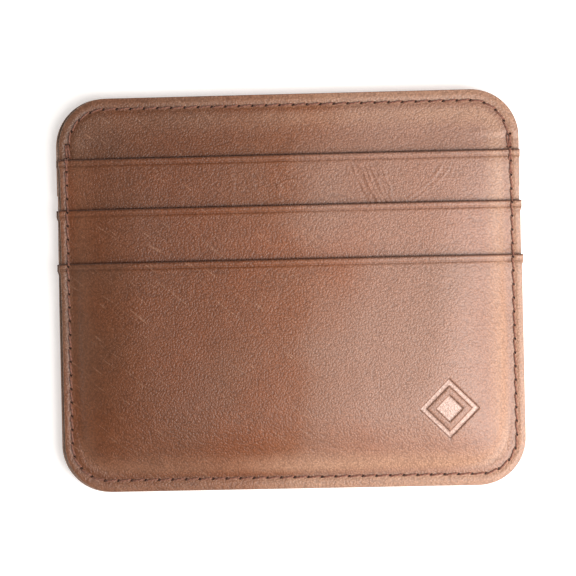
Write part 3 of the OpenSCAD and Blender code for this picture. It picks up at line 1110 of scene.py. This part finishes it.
class WALLET_OT_pockets(bpy.types.Operator):
    """Make the three leather pockets of each half"""

    bl_idname = "wallet.pockets"
    bl_label = "Pockets"

    def execute(self, context):
        sizes, colours = settings()
        for half, sign in HALVES.items():
            made = layers(sizes, half)
            upper = sheet(
                f"{half}_upper_pocket_leather", made["upper"], sizes, sign,
                side_columns(WRINKLED if half == "front" else PLAIN),
                mouth_rows(UPPER_END + CUT_EDGE, UPPER_MOUTH, 0.3 * MM), CUT_EDGE, MOUTH_EDGE,
            )
            middle = sheet(
                f"{half}_middle_pocket_leather", made["middle"], sizes, sign, side_columns(PLAIN),
                mouth_rows(MIDDLE_END + CUT_EDGE, MIDDLE_MOUTH, 0.3 * MM), CUT_EDGE, MOUTH_EDGE,
            )
            above = BOTTOM + sizes.corner
            rows = np.concatenate([
                BOTTOM + corner_rows(sizes.corner, CUT_EDGE),
                steps((above, above + 14 * MM, 0.24 * MM),
                      (above + 14 * MM, LOWER_MOUTH - 2.6 * MM, 0.6 * MM),
                      (LOWER_MOUTH - 2.6 * MM, LOWER_MOUTH - MOUTH_EDGE, 0.13 * MM)),
            ])
            lower = sheet(
                f"{half}_lower_pocket_leather", made["lower"], sizes, sign,
                side_columns(MARKED if made["lower"].mark else PLAIN), rows, CUT_EDGE, MOUTH_EDGE,
            )
            leathers = (
                (upper, "upper", 0.35), (middle, "middle", 0.1), (lower, "lower", 0.45),
            )
            for piece, part, greyness in leathers:
                title = f"Waxed leather, {part} pocket"
                leather = material_for(title, waxed_leather, colours, sizes, greyness)
                finish_sheet(piece, leather, "leather", f"{half}_{part}_pocket")
                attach(piece, BODY)
        return {"FINISHED"}


class WALLET_OT_lips(bpy.types.Operator):
    """Make the band and lip of each half, as one piece of leather"""

    bl_idname = "wallet.lips"
    bl_label = "Lips"

    def execute(self, context):
        sizes, colours = settings()
        leather = material_for("Waxed leather, band", waxed_leather, colours, sizes, 0.6)
        for half, sign in HALVES.items():
            start = TOP - sizes.corner
            rows = np.concatenate([
                steps((BAND_END + CUT_EDGE, start - 0.3 * MM, 0.35 * MM)),
                (TOP - corner_rows(sizes.corner, CUT_EDGE))[::-1],
            ])
            band = sheet(
                f"{half}_band_leather", layers(sizes, half)["band"], sizes, sign, side_columns(PLAIN),
                rows, CUT_EDGE, CUT_EDGE,
            )
            finish_sheet(band, leather, "leather", f"{half}_band", f"{half}_lip")
            bend_at_lip(band)
        return {"FINISHED"}


class WALLET_OT_linings(bpy.types.Operator):
    """Make the cloth linings of the cash pocket and of the card slots"""

    bl_idname = "wallet.linings"
    bl_label = "Linings"

    def execute(self, context):
        sizes, colours = settings()
        cloth = material_for("Woven lining", woven_lining, colours)
        edge = 0.04 * MM
        for half, sign in HALVES.items():
            made = layers(sizes, half)
            columns = steps(
                (-HALF_W, -38 * MM, 0.8 * MM), (-38 * MM, 38 * MM, 2 * MM), (38 * MM, HALF_W, 0.8 * MM)
            ) / HALF_W
            rows = np.concatenate([
                BOTTOM + corner_rows(sizes.corner, 0.8 * MM),
                steps((BOTTOM + sizes.corner, TOP - sizes.corner - 0.3 * MM, 1.0 * MM)),
                (TOP - corner_rows(sizes.corner, 0.8 * MM))[::-1],
            ])
            body = sheet(f"{half}_lining_cloth", made["lining"], sizes, sign, columns, rows, edge, edge)
            finish_sheet(body, cloth, "lining", f"{half}_lining", f"{half}_lip_lining")
            bend_at_lip(body)
            for part, layer in (("upper", made["upper_lining"]), ("middle", made["middle_lining"])):
                rows = steps((layer.low, layer.high, 0.8 * MM))
                name = f"{half}_{part}_pocket_lining"
                hung = sheet(f"{name}_cloth", layer, sizes, sign, columns, rows, edge, edge)
                finish_sheet(hung, cloth, "lining", name)
                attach(hung, BODY)
        return {"FINISHED"}


class WALLET_OT_seams(bpy.types.Operator):
    """Sew the halves together, and sew the lips and the bottoms of the card slots"""

    bl_idname = "wallet.seams"
    bl_label = "Seams"

    def execute(self, context):
        sizes, colours = settings()
        thread = material_for("Bonded thread", bonded_thread, colours)
        for half, sign in HALVES.items():
            face = top_face(sizes, half)
            path = side_seam(sizes)
            count = round(path.total / sizes.pitch)
            rows = [
                stitch_row(path, sizes, face),
                stitch_row(path, sizes, face, slant=-0.2, last=3, aside=0.12 * MM),
                stitch_row(path, sizes, face, slant=-0.2, first=count - 3, aside=0.12 * MM),
            ]
            seam = thread_object(f"{half}_side_seam_thread", rows, sign)
            finish_sheet(seam, thread, "thread", f"{half}_side_seam")
            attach(seam, BODY)
            lining_in = (LIP_IN - LINING)
            row = lip_row(sizes)
            rows = [
                stitch_row(row, sizes, face),
                stitch_row(row, sizes, lambda x, y: lining_in, outward=-1),
            ]
            lip = thread_object(f"{half}_lip_thread", rows, sign)
            finish_sheet(lip, thread, "thread", f"{half}_lip_stitches", f"{half}_band_stitches")
            bend_at_lip(lip)
            for part, y in (("upper", UPPER_SEAM), ("middle", MIDDLE_SEAM)):
                name = f"{half}_{part}_slot_seam"
                hidden = [stitch_row(StraightPath(y, 44.4 * MM), sizes, lambda x, y: 0.45 * MM)]
                slot = thread_object(f"{name}_thread", hidden, sign)
                finish_sheet(slot, thread, "thread", name)
                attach(slot, BODY)
        return {"FINISHED"}


class WALLET_OT_stage(bpy.types.Operator):
    """Lay the wallet on pale paper, light it softly and set the camera over it"""

    bl_idname = "wallet.stage"
    bl_label = "Stage"

    def execute(self, context):
        _, colours = settings()
        bpy.ops.object.select_all(action="DESELECT")
        radius, height, sweep = 1.4, 0.5, 0.3
        bpy.ops.mesh.primitive_cylinder_add(
            vertices=96, radius=radius, depth=height, location=(0, 0, cad_box[0][2] + height / 2)
        )
        floor = bpy.context.object
        floor.name = "paper_sweep"
        bpy.ops.object.transform_apply(location=True, rotation=False, scale=False)
        bpy.ops.object.mode_set(mode="EDIT")
        shape = bmesh.from_edit_mesh(floor.data)
        top = [f for f in shape.faces if f.calc_center_median().z > cad_box[0][2] + 0.9 * height]
        bmesh.ops.delete(shape, geom=top, context="FACES_ONLY")
        for edge in shape.edges:
            edge.select_set(all(v.co.z < cad_box[0][2] + 0.1 * height for v in edge.verts))
        bmesh.update_edit_mesh(floor.data)
        bpy.ops.mesh.bevel(offset=sweep, segments=12, affect="EDGES")
        bpy.ops.mesh.select_all(action="SELECT")
        bpy.ops.mesh.flip_normals()
        bpy.ops.object.mode_set(mode="OBJECT")
        bpy.ops.object.shade_smooth()
        floor.data.materials.append(material_for("Studio paper", pale_paper, colours))
        lights = (
            ("low_softbox", (0.14, -0.07, 0.105), 0.17, 0.17, 0.34, (1.0, 0.985, 0.97)),
            ("top_softbox", (0.19, -0.1, 0.49), 0.2, 0.24, 1.76, (1.0, 0.99, 0.98)),
        )
        for name, place, width, depth, power, tint in lights:
            data = bpy.data.lights.new(name, "AREA")
            data.shape = "RECTANGLE"
            data.size = width
            data.size_y = depth
            data.energy = power
            data.color = tint
            light = bpy.data.objects.new(name, data)
            light.location = place
            # The low light only shapes the leather: it leaves no gloss of its own.
            light.visible_glossy = name == "top_softbox"
            light.rotation_euler = Vector(place).to_track_quat("Z", "Y").to_euler()
            context.scene.collection.objects.link(light)
        world = bpy.data.worlds.new("Studio air")
        world.use_nodes = True
        air = world.node_tree.nodes["Background"]
        air.inputs["Color"].default_value = (1, 1, 1, 1)
        air.inputs["Strength"].default_value = 0.06
        context.scene.world = world
        context.scene.view_settings.view_transform = "Standard"

        # The camera stands square over the front, a little to its right, and is turned very slightly.
        distance, aside, roll = 0.6, math.radians(2.7), math.radians(-1.3)
        frame_width = 126.3 * MM
        data = bpy.data.cameras.new("over_the_front")
        data.sensor_width = 36
        data.lens = data.sensor_width * distance / frame_width
        camera = bpy.data.objects.new("over_the_front", data)
        camera.rotation_mode = "ZYX"
        camera.rotation_euler = (0, aside, roll)
        camera.location = (
            distance * math.sin(aside) - 0.55 * MM, 0.73 * MM, MIDDLE + distance * math.cos(aside)
        )
        context.scene.collection.objects.link(camera)
        context.scene.camera = camera
        return {"FINISHED"}


class WALLET_PT_panel(bpy.types.Panel):
    """Sizes, colours and steps of the wallet"""

    bl_idname = "WALLET_PT_panel"
    bl_label = "Slim card wallet"
    bl_space_type = "VIEW_3D"
    bl_region_type = "UI"
    bl_category = "Wallet"

    def draw(self, context):
        layout = self.layout
        for group in (context.scene.wallet_sizes, context.scene.wallet_colours):
            box = layout.box()
            for key in group.__annotations__:
                box.prop(group, key)
        for step in STEPS:
            layout.operator(step.bl_idname)


STEPS = (WALLET_OT_pockets, WALLET_OT_lips, WALLET_OT_linings, WALLET_OT_seams, WALLET_OT_stage)
CLASSES = (WalletSizes, WalletColours, *STEPS, WALLET_PT_panel)


def register():
    for cls in CLASSES:
        bpy.utils.register_class(cls)
    bpy.types.Scene.wallet_sizes = bpy.props.PointerProperty(type=WalletSizes)
    bpy.types.Scene.wallet_colours = bpy.props.PointerProperty(type=WalletColours)


def unregister():
    del bpy.types.Scene.wallet_colours
    del bpy.types.Scene.wallet_sizes
    for cls in reversed(CLASSES):
        bpy.utils.unregister_class(cls)


def main():
    register()
    bpy.ops.wallet.pockets()
    bpy.ops.wallet.lips()
    bpy.ops.wallet.linings()
    bpy.ops.wallet.seams()
    bpy.ops.wallet.stage()


if __name__ == "__main__":
    main()
